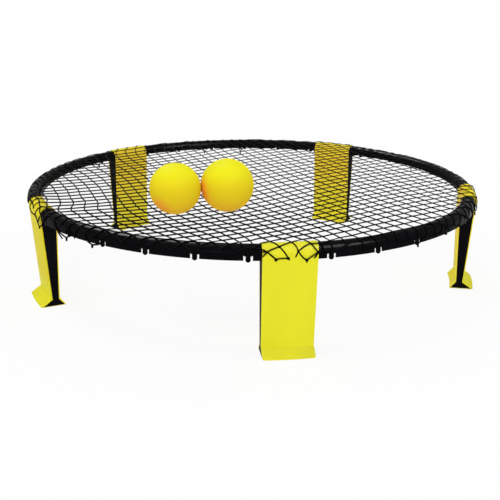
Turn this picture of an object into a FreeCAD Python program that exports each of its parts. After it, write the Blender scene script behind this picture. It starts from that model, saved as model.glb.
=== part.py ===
import FreeCAD, Part
import math
import os

# Roundnet set: a rim of five plugged sections on five folding legs, a stretched net that
# hooks over the rim, and two inflated balls lying on the net.
# Millimetres. The origin is on the floor under the middle of the rim, +Z is up, and the
# first leg stands towards -Y. Legs and rim sections are numbered anticlockwise from above.

V = FreeCAD.Vector
ORIGIN = V(0, 0, 0)
UP = V(0, 0, 1)

# Rim
RIM_RADIUS = 457.2
RIM_TOP = 196.0
RIM_TUBE_RADIUS = 14.0
RIM_WALL = 2.6
SKIRT_DEPTH = 10.5
INNER_WALL_DEPTH = 3.0
END_WALL = 3.0
END_WALL_CORNER = 3.0
RIB_WALL = 2.0

# Hooks along each rim section
HOOKS_PER_SECTION = 6
HOOK_PITCH_DEG = 10.95
HOOK_WIDTH = 8.4
HOOK_DROP = 3.0
NOTCH_WIDTH = 3.5
NOTCH_HEIGHT = 9.0

# Joint between two sections, inside a leg's head
LEG_COUNT = 5
LEG_STEP_DEG = 360.0 / LEG_COUNT
FIRST_LEG_DEG = -90.0
JOURNAL_WALL = 2.4
SOCKET_DEPTH = 66.0
SPIGOT_LENGTH = 62.0
SPIGOT_CLEARANCE = 0.12
SPIGOT_LEAD = 1.5
JOURNAL_END_GAP = 1.0

# Leg
LEG_WIDTH = 92.0
LEG_DRAFT = 0.8
HEAD_PROUD = 2.0
COVER_WALL = 2.0
CORE_HEAD_WALL = 5.0
SOLE_WALL = 1.8
COVER_EDGE_ROUND = 1.2
ANKLE_HEIGHT = 15.4
ANKLE_OUTSIDE = 4.2
ANKLE_INSIDE = 11.8
ANKLE_OUTSIDE_ROUND = 3.0
ANKLE_INSIDE_ROUND = 5.0
TOE_OUTSIDE = 23.4
TOE_INSIDE = 22.8
TOE_NOSE = 2.4
HEAD_GAP = 0.4
HINGE_CLEARANCE = 0.05
FOLD_DEG = 75.0

# Stop lug on the section's end wall, which runs in a slot in the leg's side
LUG_GAP = 1.4
LUG_WALL = 2.0
LUG_HEIGHT = 2.8
LUG_CENTRE_DEG = -148.0
LUG_SPAN_DEG = 16.0
LUG_CLEARANCE = 0.35
LUG_PLAY_DEG = 1.0

# Spring clip that keeps the leg on its journal
CLIP_WALL = 1.5
CLIP_PROUD = 2.0
CLIP_GROOVE_DEPTH = 1.0
CLIP_OPENING = 11.0
CLIP_SEAT_DEPTH = 3.8
CLIP_SIDE_GAP = 0.3
CLIP_CLEARANCE = 0.4

# Net
NET_THICKNESS = 2.0
NET_LIFT = 0.3
NET_BORDER = 5.0
NET_CORD = 2.4
NET_CELL_X = 62.0
NET_CELL_Y = 70.0
NET_TURN_DEG = -8.0
NET_LEG_GAP = 1.6
SMALLEST_OPENING = 200.0
LOOP_CORD = 2.0
LOOP_LIFT = 0.3

# Balls: the first at its own place, the second beside it in the direction given
BALL_1_RADIUS = 46.0
BALL_1_X = -173.4
BALL_1_Y = -253.3
BALL_2_RADIUS = 48.0
BALL_2_DIRECTION_DEG = 4.25
BALL_GAP = 0.38
BALL_WALL = 2.5
BALL_LIFT = 0.3
VALVE_STEM_RADIUS = 3.0
VALVE_FLANGE_RADIUS = 6.0
VALVE_FLANGE_WALL = 1.6
VALVE_BORE_RADIUS = 0.8

# Places that follow from the sizes above
TUBE_RING = RIM_RADIUS - RIM_TUBE_RADIUS
TUBE_Z = RIM_TOP - RIM_TUBE_RADIUS
SKIRT_Z = TUBE_Z - SKIRT_DEPTH
HOOK_Z = SKIRT_Z - HOOK_DROP
NOTCH_Z = SKIRT_Z + NOTCH_HEIGHT
INNER_WALL_Z = TUBE_Z - INNER_WALL_DEPTH
RIM_INNER_FACE = TUBE_RING - RIM_TUBE_RADIUS
SKIRT_INNER_FACE = RIM_RADIUS - RIM_WALL
HEAD_HALF = LEG_WIDTH / 2
END_PLANE = HEAD_HALF + HEAD_GAP
# The journal is straight and the rim is curved, so its axis lies halfway across the bow
BOW = TUBE_RING - math.sqrt(TUBE_RING**2 - END_PLANE**2)
AXIS_RING = TUBE_RING - BOW / 2
AXIS_Z = TUBE_Z
ANKLE_OUTER = TUBE_RING + ANKLE_OUTSIDE
ANKLE_INNER = TUBE_RING - ANKLE_INSIDE
TOE_OUTER = TUBE_RING + TOE_OUTSIDE
TOE_INNER = TUBE_RING - TOE_INSIDE
HEAD_RADIUS = RIM_TUBE_RADIUS + HEAD_PROUD
CORE_HEAD_RADIUS = HEAD_RADIUS - COVER_WALL
JOURNAL_RADIUS = CORE_HEAD_RADIUS - CORE_HEAD_WALL
SOCKET_RADIUS = JOURNAL_RADIUS - JOURNAL_WALL
LUG_INNER = JOURNAL_RADIUS + LUG_GAP
LUG_OUTER = LUG_INNER + LUG_WALL
CLIP_RADIUS = JOURNAL_RADIUS + CLIP_PROUD
NET_Z = RIM_TOP + NET_LIFT
NET_TOP = NET_Z + NET_THICKNESS


def point(radius, z):
    """A point of a profile in the plane of a leg: distance from the ring's axis, and height."""
    return V(radius, 0, z)


def line(a, b):
    return Part.LineSegment(a, b).toShape()


def arc(a, middle, b):
    return Part.Arc(a, middle, b).toShape()


def on_circle(ring, height, radius, degrees):
    """The point of a circle in a leg's plane; 0 degrees is outwards and 90 is up."""
    angle = math.radians(degrees)
    return point(ring + radius * math.cos(angle), height + radius * math.sin(angle))


def face_of(edges):
    return Part.Face(Part.Wire(edges))


def revolved(face, start_deg, sweep_deg):
    shape = face.revolve(ORIGIN, UP, sweep_deg)
    shape.rotate(ORIGIN, UP, start_deg)
    return shape


def turned(shape, degrees):
    copy = shape.copy()
    copy.rotate(ORIGIN, UP, degrees)
    return copy


def side_cylinder(radius, start, end):
    """A cylinder on the hinge axis of the leg that stands towards +X, from y=start to y=end."""
    return Part.makeCylinder(radius, end - start, V(AXIS_RING, start, AXIS_Z), V(0, 1, 0))


def hinge_sector(inner, outer, start_deg, span_deg, start, end):
    """A ring sector about the hinge axis; 0 degrees is outwards and 90 is up."""
    middle = start_deg + span_deg / 2
    last = start_deg + span_deg
    edges = [
        arc(*[on_circle(AXIS_RING, AXIS_Z, outer, a) for a in (start_deg, middle, last)]),
        line(on_circle(AXIS_RING, AXIS_Z, outer, last), on_circle(AXIS_RING, AXIS_Z, inner, last)),
        arc(*[on_circle(AXIS_RING, AXIS_Z, inner, a) for a in (last, middle, start_deg)]),
        line(on_circle(AXIS_RING, AXIS_Z, inner, start_deg), on_circle(AXIS_RING, AXIS_Z, outer, start_deg)),
    ]
    sector = face_of(edges).extrude(V(0, end - start, 0))
    sector.translate(V(0, start, 0))
    return sector


def beside_leg(side):
    """The space past a leg's side where a rim section may be; side is 1 or -1."""
    depth = 2 * RIM_RADIUS
    low = END_PLANE if side > 0 else -END_PLANE - depth
    return Part.makeBox(2 * RIM_RADIUS, depth, 2 * RIM_TOP, V(0, low, 0))


def tube_arch(radius):
    """The half circle over the rim's tube line, from its outside to its inside."""
    return arc(*[on_circle(TUBE_RING, TUBE_Z, radius, a) for a in (0, 90, 180)])


def channel_profile():
    """The rim's open channel: a long outer skirt, a round top and a short inner wall."""
    inner_radius = RIM_TUBE_RADIUS - RIM_WALL
    return face_of([
        line(point(RIM_RADIUS, HOOK_Z), point(RIM_RADIUS, TUBE_Z)),
        tube_arch(RIM_TUBE_RADIUS),
        line(point(RIM_INNER_FACE, TUBE_Z), point(RIM_INNER_FACE, INNER_WALL_Z)),
        line(point(RIM_INNER_FACE, INNER_WALL_Z), point(RIM_INNER_FACE + RIM_WALL, INNER_WALL_Z)),
        line(point(RIM_INNER_FACE + RIM_WALL, INNER_WALL_Z), point(RIM_INNER_FACE + RIM_WALL, TUBE_Z)),
        arc(*[on_circle(TUBE_RING, TUBE_Z, inner_radius, a) for a in (180, 90, 0)]),
        line(point(SKIRT_INNER_FACE, TUBE_Z), point(SKIRT_INNER_FACE, HOOK_Z)),
        line(point(SKIRT_INNER_FACE, HOOK_Z), point(RIM_RADIUS, HOOK_Z)),
    ])


def end_wall_profile():
    """The closed end of the channel, down to the skirt, with its inner corner cut off."""
    above = point(RIM_INNER_FACE, SKIRT_Z + END_WALL_CORNER)
    beside = point(RIM_INNER_FACE + END_WALL_CORNER, SKIRT_Z)
    return face_of([
        line(point(RIM_RADIUS, SKIRT_Z), point(RIM_RADIUS, TUBE_Z)),
        tube_arch(RIM_TUBE_RADIUS),
        line(point(RIM_INNER_FACE, TUBE_Z), above),
        line(above, beside),
        line(beside, point(RIM_RADIUS, SKIRT_Z)),
    ])


def rib_profile():
    """A cross rib inside the channel, let into the walls round it."""
    reach = RIM_TUBE_RADIUS - RIM_WALL / 2
    low = INNER_WALL_Z
    return face_of([
        line(point(TUBE_RING + reach, low), point(TUBE_RING + reach, TUBE_Z)),
        tube_arch(reach),
        line(point(TUBE_RING - reach, TUBE_Z), point(TUBE_RING - reach, low)),
        line(point(TUBE_RING - reach, low), point(TUBE_RING + reach, low)),
    ])


def hook_angles():
    """The hooks' angles from the middle of a section."""
    first = -HOOK_PITCH_DEG * (HOOKS_PER_SECTION - 1) / 2
    return [first + i * HOOK_PITCH_DEG for i in range(HOOKS_PER_SECTION)]


def hook_cutter():
    """What is cut from the skirt round one hook: two notches and the space under its round tip."""
    below = HOOK_Z - 1
    tongue = HOOK_WIDTH / 2
    outside = tongue + NOTCH_WIDTH
    crown = NOTCH_Z - NOTCH_WIDTH / 2
    middle = tongue + NOTCH_WIDTH / 2

    def at(y, z):
        return V(RIM_RADIUS - 3 * RIM_WALL, y, z)

    edges = [
        line(at(-outside, below), at(-outside, crown)),
        arc(at(-outside, crown), at(-middle, NOTCH_Z), at(-tongue, crown)),
        line(at(-tongue, crown), at(-tongue, SKIRT_Z)),
        arc(at(-tongue, SKIRT_Z), at(0, HOOK_Z), at(tongue, SKIRT_Z)),
        line(at(tongue, SKIRT_Z), at(tongue, crown)),
        arc(at(tongue, crown), at(middle, NOTCH_Z), at(outside, crown)),
        line(at(outside, crown), at(outside, below)),
        line(at(outside, below), at(-outside, below)),
    ]
    return face_of(edges).extrude(V(6 * RIM_WALL, 0, 0))


def hem_cutter(start_deg, end_deg):
    """Takes the skirt back to its own depth between two hooks."""
    low = HOOK_Z - 1
    corners = [
        point(SKIRT_INNER_FACE - 1, low),
        point(RIM_RADIUS + 1, low),
        point(RIM_RADIUS + 1, SKIRT_Z),
        point(SKIRT_INNER_FACE - 1, SKIRT_Z),
    ]
    strip = Part.Face(Part.makePolygon(corners + corners[:1]))
    return revolved(strip, start_deg, end_deg - start_deg)


def rim_section():
    """One rim section with its middle towards +X: the channel, its journal and its spigot."""
    half_step = LEG_STEP_DEG / 2
    hooks = hook_angles()
    notch_deg = math.degrees((HOOK_WIDTH / 2 + NOTCH_WIDTH / 2) / RIM_RADIUS)

    channel = revolved(channel_profile(), -half_step, LEG_STEP_DEG)
    edges_deg = [-half_step - 1]
    for angle in hooks:
        edges_deg += [angle - notch_deg, angle + notch_deg]
    edges_deg.append(half_step + 1)
    cutters = [turned(hook_cutter(), angle) for angle in hooks]
    cutters += [hem_cutter(a, b) for a, b in zip(edges_deg[::2], edges_deg[1::2])]
    channel = channel.cut(cutters)

    rib_deg = math.degrees(RIB_WALL / TUBE_RING)
    between = [(a + b) / 2 for a, b in zip(hooks, hooks[1:])]
    ribs = [revolved(rib_profile(), angle - rib_deg / 2, rib_deg) for angle in between]

    space = turned(beside_leg(1), -half_step).common(turned(beside_leg(-1), half_step))
    channel = channel.common(space)

    wall = revolved(end_wall_profile(), -half_step, LEG_STEP_DEG)
    slab_start = V(TUBE_RING - 2 * RIM_TUBE_RADIUS, END_PLANE, 0)
    slab = Part.makeBox(4 * RIM_TUBE_RADIUS, END_WALL, 2 * RIM_TOP, slab_start)
    near_wall = wall.common(turned(slab, -half_step))
    slab.translate(V(0, -2 * END_PLANE - END_WALL, 0))
    far_wall = wall.common(turned(slab, half_step))

    body = channel.fuse(ribs + [near_wall, far_wall])
    near_end = journal().fuse(stop_lug())
    body = body.fuse([turned(near_end, -half_step), turned(spigot(), half_step)])
    return body.removeSplitter()


def journal():
    """The hollow round end that carries a leg and takes the next section's spigot."""
    start = -END_PLANE + JOURNAL_END_GAP
    root = END_PLANE + END_WALL / 2
    tube = side_cylinder(JOURNAL_RADIUS, start, root)
    tube = tube.cut(side_cylinder(SOCKET_RADIUS, start, start + SOCKET_DEPTH))
    groove_low, groove_high = clip_groove()
    groove = side_cylinder(JOURNAL_RADIUS + 1, groove_low, groove_high)
    groove = groove.cut(side_cylinder(JOURNAL_RADIUS - CLIP_GROOVE_DEPTH, groove_low, groove_high))
    return tube.cut(groove)


def spigot():
    """The solid round end that plugs into the next section's journal, with a tapered lead."""
    radius = SOCKET_RADIUS - SPIGOT_CLEARANCE
    root = -END_PLANE - END_WALL / 2
    tip = -END_PLANE + SPIGOT_LENGTH
    rod = side_cylinder(radius, root, tip - SPIGOT_LEAD)
    shoulder = V(AXIS_RING, tip - SPIGOT_LEAD, AXIS_Z)
    lead = Part.makeCone(radius, radius - SPIGOT_LEAD, SPIGOT_LEAD, shoulder, V(0, 1, 0))
    return rod.fuse(lead)


def stop_lug():
    """The lug beside the journal that ends the leg's travel both ways."""
    first = LUG_CENTRE_DEG - LUG_SPAN_DEG / 2
    tip = END_PLANE - LUG_HEIGHT
    return hinge_sector(LUG_INNER, LUG_OUTER, first, LUG_SPAN_DEG, tip, END_PLANE + END_WALL / 2)


def clip_groove():
    """Where the clip's groove begins and ends along the hinge axis."""
    seat = -HEAD_HALF + CLIP_SEAT_DEPTH
    high = seat - CLIP_SIDE_GAP + CLIP_SIDE_GAP / 3
    low = high - CLIP_WALL - 2 * CLIP_SIDE_GAP / 3
    return low, high


def hinge_clip():
    """The open spring clip in the journal's groove."""
    low, high = clip_groove()
    start = (low + high - CLIP_WALL) / 2
    inner = JOURNAL_RADIUS - CLIP_GROOVE_DEPTH + CLIP_SIDE_GAP / 3
    ring = side_cylinder(CLIP_RADIUS, start, start + CLIP_WALL)
    ring = ring.cut(side_cylinder(inner, start, start + CLIP_WALL))
    mouth = V(AXIS_RING - CLIP_OPENING / 2, start, AXIS_Z)
    opening = Part.makeBox(CLIP_OPENING, CLIP_WALL, 2 * CLIP_RADIUS, mouth)
    return ring.cut(opening)


def tangent_on_head(radius, corner, side):
    """Where the straight face from an ankle corner meets the head's circle."""
    dx = corner.x - TUBE_RING
    dz = corner.z - TUBE_Z
    distance = math.hypot(dx, dz)
    turn = math.acos(radius / distance)
    angle = math.atan2(dz, dx) + side * turn
    return point(TUBE_RING + radius * math.cos(angle), TUBE_Z + radius * math.sin(angle))


def corner_round(before, corner, after, radius):
    """The start, middle and end of the arc that rounds a corner of a profile."""
    back = (before - corner).normalize()
    ahead = (after - corner).normalize()
    half = back.getAngle(ahead) / 2
    reach = radius / math.tan(half)
    inward = (back + ahead).normalize()
    middle = corner + inward * (radius / math.sin(half) - radius)
    return corner + back * reach, middle, corner + ahead * reach


def leg_outline(head, ankle_out, ankle_in, toe_out, toe_in, nose, sole, wall):
    """A leg's outline in its own plane: a round head, a tapered shank, round ankles, a flared foot."""
    right = tangent_on_head(head, ankle_out, 1)
    left = tangent_on_head(head, ankle_in, -1)
    nose_out = point(toe_out, sole + nose)
    nose_in = point(toe_in, sole + nose)
    inner_ankle = corner_round(left, ankle_in, nose_in, ANKLE_INSIDE_ROUND + wall)
    outer_ankle = corner_round(nose_out, ankle_out, right, ANKLE_OUTSIDE_ROUND + wall)
    foot = [inner_ankle[2], nose_in, point(toe_in, sole), point(toe_out, sole), nose_out, outer_ankle[0]]
    edges = [line(left, inner_ankle[0]), arc(*inner_ankle)]
    edges += [line(a, b) for a, b in zip(foot, foot[1:]) if a.distanceToPoint(b) > 1e-6]
    edges += [arc(*outer_ankle), line(outer_ankle[2], right)]
    return face_of(edges + [arc(right, point(TUBE_RING, TUBE_Z + head), left)])


def outer_outline():
    return leg_outline(
        HEAD_RADIUS, point(ANKLE_OUTER, ANKLE_HEIGHT), point(ANKLE_INNER, ANKLE_HEIGHT),
        TOE_OUTER, TOE_INNER, TOE_NOSE, 0, 0,
    )


def core_outline():
    """The same outline one cover wall further in, with its toes drawn to an edge."""
    flare_out = math.atan2(TOE_OUTER - ANKLE_OUTER, ANKLE_HEIGHT - TOE_NOSE)
    flare_in = math.atan2(ANKLE_INNER - TOE_INNER, ANKLE_HEIGHT - TOE_NOSE)
    drop_out = COVER_WALL * math.tan(flare_out / 2)
    drop_in = COVER_WALL * math.tan(flare_in / 2)
    ankle_out = point(ANKLE_OUTER - COVER_WALL, ANKLE_HEIGHT - drop_out)
    ankle_in = point(ANKLE_INNER + COVER_WALL, ANKLE_HEIGHT - drop_in)
    toe_out = ankle_out.x + (ankle_out.z - SOLE_WALL) * math.tan(flare_out)
    toe_in = ankle_in.x - (ankle_in.z - SOLE_WALL) * math.tan(flare_in)
    return leg_outline(CORE_HEAD_RADIUS, ankle_out, ankle_in, toe_out, toe_in, 0, SOLE_WALL, COVER_WALL)


def leg_front():
    """The leg as seen from outside the ring, as a block that narrows a little towards the foot."""
    foot = HEAD_HALF - LEG_DRAFT
    top = RIM_TOP + 2 * HEAD_PROUD
    corners = [V(0, -foot, 0), V(0, foot, 0), V(0, HEAD_HALF, top), V(0, -HEAD_HALF, top)]
    return Part.Face(Part.makePolygon(corners + corners[:1])).extrude(V(2 * RIM_RADIUS, 0, 0))


def edges_beside(block):
    """The edges round a leg's two flat sides, but for those of the foot's blunt rim and sole."""
    edges = []
    for face in block.Faces:
        low_u, high_u, low_v, high_v = face.ParameterRange
        across = face.normalAt((low_u + high_u) / 2, (low_v + high_v) / 2)
        if abs(across.y) > 0.99:
            edges += [e for e in face.Edges if e.CenterOfMass.z > 1.01 * TOE_NOSE]
    return edges


def leg():
    """The leg towards +X: a core with the hinge bore, and the cover band wrapped round it."""
    reach = math.degrees(math.asin(HEAD_HALF / (TOE_INNER - 1))) + 0.5
    front = leg_front()
    block = revolved(outer_outline(), -reach, 2 * reach).common(front).Solids[0]
    core = revolved(core_outline(), -reach, 2 * reach)
    cover = block.makeFillet(COVER_EDGE_ROUND, edges_beside(block)).cut(core)
    core = core.common(front)
    core = core.cut(side_cylinder(JOURNAL_RADIUS + HINGE_CLEARANCE, -LEG_WIDTH, LEG_WIDTH))
    core = core.cut(side_cylinder(CLIP_RADIUS + CLIP_CLEARANCE, -LEG_WIDTH, -HEAD_HALF + CLIP_SEAT_DEPTH))
    slot_start = LUG_CENTRE_DEG - LUG_SPAN_DEG / 2 - LUG_PLAY_DEG
    slot_span = LUG_SPAN_DEG + FOLD_DEG + 2 * LUG_PLAY_DEG
    slot_floor = HEAD_HALF - LUG_HEIGHT
    slot_inner = LUG_INNER - LUG_CLEARANCE
    slot_outer = LUG_OUTER + LUG_CLEARANCE
    core = core.cut(hinge_sector(slot_inner, slot_outer, slot_start, slot_span, slot_floor, LEG_WIDTH))
    return core, cover


def net_area(inset):
    """The net's outline: a circle over the rim's top line with a recess for each leg's head."""
    disc = Part.makeCylinder(TUBE_RING - inset, NET_THICKNESS, V(0, 0, NET_Z))
    depth = RIM_RADIUS - RIM_INNER_FACE + NET_LEG_GAP + inset
    half = HEAD_HALF + NET_LEG_GAP + inset
    corner = V(RIM_RADIUS - depth, -half, NET_Z - NET_THICKNESS / 2)
    recess = Part.makeBox(depth, 2 * half, 2 * NET_THICKNESS, corner)
    return disc.cut([turned(recess, FIRST_LEG_DEG + k * LEG_STEP_DEG) for k in range(LEG_COUNT)])


def net():
    """The stretched net as one holed sheet: diamond openings inside a plain border."""
    half_x = NET_CELL_X / 2
    half_y = NET_CELL_Y / 2
    shrink = NET_CORD * math.hypot(half_x, half_y) / 2
    reach_x = half_x - shrink / half_y
    reach_y = half_y - shrink / half_x
    low = NET_Z - NET_THICKNESS / 2
    corners = [V(reach_x, 0, low), V(0, reach_y, low), V(-reach_x, 0, low), V(0, -reach_y, low)]
    diamond = Part.Face(Part.makePolygon(corners + corners[:1])).extrude(V(0, 0, 2 * NET_THICKNESS))
    inside = net_area(NET_BORDER)
    columns = int(2 * RIM_RADIUS / NET_CELL_X) + 2
    rows = int(2 * RIM_RADIUS / NET_CELL_Y) + 2
    openings = []
    for i in range(-columns, columns + 1):
        for j in range(-rows, rows + 1):
            if (i + j) % 2:
                continue
            x = i * half_x
            y = j * half_y
            if math.hypot(x, y) > TUBE_RING + half_y:
                continue
            cell = diamond.copy()
            cell.translate(V(x, y, 0))
            cell.rotate(ORIGIN, UP, NET_TURN_DEG)
            if math.hypot(x, y) > RIM_INNER_FACE - half_y - NET_BORDER - NET_LEG_GAP:
                cell = cell.common(inside)
            openings += [s for s in cell.Solids if s.Volume > SMALLEST_OPENING * NET_THICKNESS]
    print("net openings", len(openings))
    return net_area(0).cut(openings)


def hook_loop():
    """One of the net's edge loops at a hook towards +X: down both notches and round behind the hook."""
    near = RIM_TUBE_RADIUS + LOOP_LIFT
    far = near + LOOP_CORD
    bar_z = NOTCH_Z - LOOP_CORD - LOOP_LIFT
    side = HOOK_WIDTH / 2 + NOTCH_WIDTH / 2
    strand = face_of([
        arc(*[on_circle(TUBE_RING, TUBE_Z, far, a) for a in (0, 45, 90)]),
        line(point(TUBE_RING, TUBE_Z + far), point(TUBE_RING, TUBE_Z + near)),
        arc(*[on_circle(TUBE_RING, TUBE_Z, near, a) for a in (90, 45, 0)]),
        line(point(TUBE_RING + near, TUBE_Z), point(TUBE_RING + near, bar_z)),
        line(point(TUBE_RING + near, bar_z), point(TUBE_RING + far, bar_z)),
        line(point(TUBE_RING + far, bar_z), point(TUBE_RING + far, TUBE_Z)),
    ]).extrude(V(0, LOOP_CORD, 0))
    strands = []
    for y in (-side, side):
        copy = strand.copy()
        copy.translate(V(0, y - LOOP_CORD / 2, 0))
        strands.append(copy)
    back = SKIRT_INNER_FACE - LOOP_LIFT
    span = 2 * side + LOOP_CORD
    reach = TUBE_RING + far - back
    bar = Part.makeBox(reach + LOOP_CORD, span, LOOP_CORD, V(back - LOOP_CORD, -span / 2, bar_z))
    inside = Part.makeBox(reach + 1, span - 2 * LOOP_CORD, LOOP_CORD, V(back, -span / 2 + LOOP_CORD, bar_z))
    return strands[0].fuse([strands[1], bar.cut(inside)]).removeSplitter()


def ball_places():
    """Each ball's radius and its centre's place over the net; both rest on it, so they touch aslant."""
    apart = BALL_1_RADIUS + BALL_2_RADIUS + BALL_GAP
    step = math.sqrt(apart**2 - (BALL_2_RADIUS - BALL_1_RADIUS) ** 2)
    direction = math.radians(BALL_2_DIRECTION_DEG)
    x = BALL_1_X + step * math.cos(direction)
    y = BALL_1_Y + step * math.sin(direction)
    return [(BALL_1_RADIUS, BALL_1_X, BALL_1_Y), (BALL_2_RADIUS, x, y)]


def ball(radius, x, y):
    """A hollow ball with the hole for its valve, and the valve's stem and inner flange."""
    centre = V(x, y, NET_TOP + BALL_LIFT + radius)
    back = V(0, 1, 0)
    inner = radius - BALL_WALL
    hole_start = centre + back * (inner - BALL_WALL)
    shell = Part.makeSphere(radius, centre).cut(Part.makeSphere(inner, centre))
    seat = inner - VALVE_FLANGE_WALL - VALVE_FLANGE_RADIUS**2 / inner / 2
    valve = Part.makeCylinder(VALVE_STEM_RADIUS, radius - 0.3 - seat, centre + back * seat, back)
    shell = shell.cut(Part.makeCylinder(VALVE_STEM_RADIUS, 3 * BALL_WALL, hole_start, back))
    flange = Part.makeCylinder(VALVE_FLANGE_RADIUS, VALVE_FLANGE_WALL, centre + back * seat, back)
    bore_start = centre + back * (seat + VALVE_FLANGE_WALL)
    needle_hole = Part.makeCylinder(VALVE_BORE_RADIUS, radius, bore_start, back)
    return shell, valve.fuse(flange).removeSplitter().cut(needle_hole)


def export(shape, name):
    shape.exportStep("parts/" + name + ".step")
    print(name, "valid", shape.isValid(), "solids", len(shape.Solids), "volume", round(shape.Volume))


def main():
    os.makedirs("parts", exist_ok=True)
    section = rim_section()
    clip = hinge_clip()
    core, cover = leg()
    for k in range(LEG_COUNT):
        leg_deg = FIRST_LEG_DEG + k * LEG_STEP_DEG
        number = str(k + 1)
        export(turned(section, leg_deg + LEG_STEP_DEG / 2), "rim_section_" + number)
        export(turned(clip, leg_deg), "hinge_clip_" + number)
        export(turned(core, leg_deg), "leg_core_" + number)
        export(turned(cover, leg_deg), "leg_cover_" + number)

    export(net(), "net")
    loops = []
    for k in range(LEG_COUNT):
        middle_deg = FIRST_LEG_DEG + (k + 0.5) * LEG_STEP_DEG
        loops += [turned(hook_loop(), middle_deg + angle) for angle in hook_angles()]
    export(Part.makeCompound(loops), "net_hook_loops")

    for number, (radius, x, y) in enumerate(ball_places(), 1):
        shell, valve = ball(radius, x, y)
        export(shell, "ball_" + str(number))
        export(valve, "valve_" + str(number))


main()
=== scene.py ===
"""Looks of the roundnet set: the knotted net, its edge loops, finishes, floor, lamps and camera."""

import math

import bpy
import numpy as np
from mathutils import Matrix, Vector
from numpy.polynomial.polynomial import polyval2d


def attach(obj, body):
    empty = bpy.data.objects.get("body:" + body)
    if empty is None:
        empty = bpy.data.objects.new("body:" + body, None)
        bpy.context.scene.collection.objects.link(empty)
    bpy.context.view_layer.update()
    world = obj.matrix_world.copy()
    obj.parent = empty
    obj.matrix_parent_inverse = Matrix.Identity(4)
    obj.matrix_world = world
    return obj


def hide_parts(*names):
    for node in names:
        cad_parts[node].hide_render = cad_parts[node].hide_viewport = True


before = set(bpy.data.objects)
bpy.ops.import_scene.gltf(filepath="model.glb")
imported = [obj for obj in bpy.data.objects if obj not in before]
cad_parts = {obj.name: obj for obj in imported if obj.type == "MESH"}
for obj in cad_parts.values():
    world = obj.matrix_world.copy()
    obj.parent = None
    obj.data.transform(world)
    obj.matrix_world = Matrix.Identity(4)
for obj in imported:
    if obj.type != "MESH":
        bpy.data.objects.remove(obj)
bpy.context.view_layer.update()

bl_info = {
    "name": "Roundnet set",
    "version": (1, 0, 0),
    "blender": (4, 5, 0),
    "location": "View3D > Sidebar > Roundnet",
    "description": "Builds the net and the finishes of a roundnet set round its packed solids",
    "category": "Object",
}

# Ring, legs and hooks, in metres, as the solids have them: the rim's tube by its middle line, the
# legs by their hinge axes, and six hooks about the middle of each span
TUBE_RING = 0.4432
TUBE_RADIUS = 0.014
TUBE_Z = 0.182
AXIS_RING = 0.441982
HEAD_RADIUS = 0.016
LEG_WIDTH = 0.092
LEGS = np.radians(-90.0 + 72.0 * np.arange(5))
HOOK_PITCH = math.radians(10.95)
HOOKS = np.sort((LEGS[:, None] + math.radians(36.0) + HOOK_PITCH * (np.arange(6) - 2.5)).ravel())
HOOK_WIDTH = 0.0084
NOTCH_WIDTH = 0.0035
NOTCH_TOP = 0.1805
SKIRT_INSIDE = 0.4546
NET_TOP = 0.1982
# A cord lies this far off what it touches, and is pressed there to this share of its height
CLEAR = 0.00025
PRESSED = 0.72
# The press begins PRESS_START inside the ring's top, and is full PRESS_RUN further out
PRESS_START = 0.014
PRESS_RUN = 0.010
# The net climbs to a head's top over HEAD_RISE. Beside the head it comes down over HEAD_BLEND, from
# HEAD_MARGIN past its side.
HEAD_RISE = 0.055
HEAD_MARGIN = 0.001
HEAD_BLEND = 0.012
# The cord's thickness changes across the net by these shares for each metre of x and y
THINNER = (-0.35, -0.35)

# The stretched mesh. One family of cords lies where the first count is whole, the other where the
# second is. Each count is the sum of C[i][j] (x / COUNT_SCALE)^i (y / COUNT_SCALE)^j out to
# COUNT_REACH, and goes on past that at its rate over the last COUNT_STEP of the radius.
COUNT_SCALE = 0.4
COUNT_REACH = 0.43
COUNT_STEP = 0.015
COUNT_U = np.array([
    [-5.94, 4.025, -0.124, 1.858, -2.25, -0.766, 1.266],
    [16.31, 1.985, -1.783, -1.877, 2.495, 0.587, 0],
    [-1.703, 1.288, 3.507, -2.002, -4.245, 0, 0],
    [0.021, -3.081, -0.275, 2.715, 0, 0, 0],
    [0.782, -0.16, 0.23, 0, 0, 0, 0],
    [-0.027, 0.943, 0, 0, 0, 0, 0],
    [-0.199, 0, 0, 0, 0, 0, 0]])
COUNT_V = np.array([
    [-7.506, -13.847, -0.088, -1.271, 2.457, 0.76, -1.028],
    [8.901, -2.34, 1.008, 4.577, -2.972, -3.306, 0],
    [0.219, -3.655, 1.17, 0.28, -3.514, 0, 0],
    [-2.792, 3.558, 0.033, -3.474, 0, 0, 0],
    [0.52, 2.373, 1.16, 0, 0, 0, 0],
    [1.035, -1.08, 0, 0, 0, 0, 0],
    [-0.216, 0, 0, 0, 0, 0, 0]])
# The whole counts that a knot can have, and the points of a cord's line from knot to knot
KNOTS_U = np.arange(-30, 20)
KNOTS_V = np.arange(-34, 22)
STEPS = 4
# A knot is over a head up to this far beside it, and no knot lies further out than NET_REACH
OVER_HEAD = 0.003
NET_REACH = 0.5
# A hook holds the edge knot nearest to HOOK_KNOT past the ring's top, within HOOK_CATCH
HOOK_KNOT = 0.0235
HOOK_CATCH = 0.035
# Knots further out than FOLLOW_FROM past the ring's top follow those that were moved: in each round
# they take FOLLOW_SHARE of their neighbours' mean move
FOLLOW_FROM = -0.045
FOLLOW_SHARE = 0.92
FOLLOW_ROUNDS = 80
# The cords bow between knots from the ring's top on, and fully this far past it
SLACK_RUN = 0.02
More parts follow.
